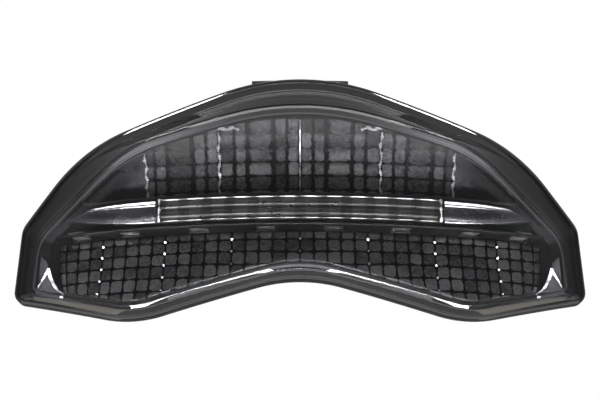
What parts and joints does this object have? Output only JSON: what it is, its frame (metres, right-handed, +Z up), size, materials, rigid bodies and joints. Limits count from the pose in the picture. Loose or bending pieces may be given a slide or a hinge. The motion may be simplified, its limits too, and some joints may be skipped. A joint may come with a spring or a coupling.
{
  "type": "motorcycle tail light",
  "caption": "Wraparound motorcycle tail light: smoked crowned lens over two faceted reflectors and a fluted centre bar, black housing with rear pad and top tab.",
  "frame": {"origin": "centre of the flat rear mounting pad's face", "axes": "+Z up, lens facing -Y, pad facing +Y, +X along the light's width, towards the viewer's right when looking at the lens"},
  "size_m": [0.2294, 0.0655, 0.0976],
  "materials": {
    "smoked_lens": "clear smoked plastic, polished",
    "black_housing": "moulded black plastic, fine grain",
    "rubber": "matt black rubber",
    "satin_trim": "satin dark grey plastic",
    "bright_trim": "vacuum-metallised plastic, mirror bright",
    "reflector": "vacuum-metallised plastic, faceted",
    "circuit_board": "solder mask over glass-fibre board",
    "led": "white package with clear dome",
    "steel": "zinc-plated",
    "component_black": "moulded black",
    "lead_insulation": "red insulation",
    "brass": "turned, knurled"
  },
  "bodies": {
    "root": {"lens": "smoked_lens", "rear_housing": "black_housing", "top_bracket": "black_housing", "lens_seal": "rubber", "centre_bar": "bright_trim", "left_wing": "satin_trim", "right_wing": "satin_trim", "left_corner_trim": "satin_trim", "right_corner_trim": "satin_trim", "upper_reflector": "reflector", "lower_reflector": "reflector", "upper_led_board": "circuit_board", "lower_led_board": "circuit_board", "driver_board": "circuit_board", "board_carrier": "black_housing", "upper_led_1": "led", "upper_led_2": "led", "upper_led_3": "led", "upper_led_4": "led", "upper_led_5": "led", "upper_led_6": "led", "upper_led_7": "led", "upper_led_8": "led", "lower_led_1": "led", "lower_led_2": "led", "lower_led_3": "led", "lower_led_4": "led", "lower_led_5": "led", "lower_led_6": "led", "lower_led_7": "led", "lower_led_8": "led", "upper_board_screw_1": "steel", "upper_board_screw_2": "steel", "upper_board_screw_3": "steel", "lower_board_screw_1": "steel", "lower_board_screw_2": "steel", "lower_board_screw_3": "steel", "driver_screw_1": "steel", "driver_screw_2": "steel", "left_tab_nut": "steel", "right_tab_nut": "steel", "driver_capacitor": "component_black", "driver_regulator": "component_black", "driver_resistor_1": "component_black", "driver_resistor_2": "component_black", "driver_resistor_3": "component_black", "upper_board_lead": "lead_insulation", "lower_board_lead": "lead_insulation", "cable_grommet": "rubber", "breather_cap": "rubber", "left_mount_insert": "brass", "right_mount_insert": "brass"}
  },
  "joints": []
}
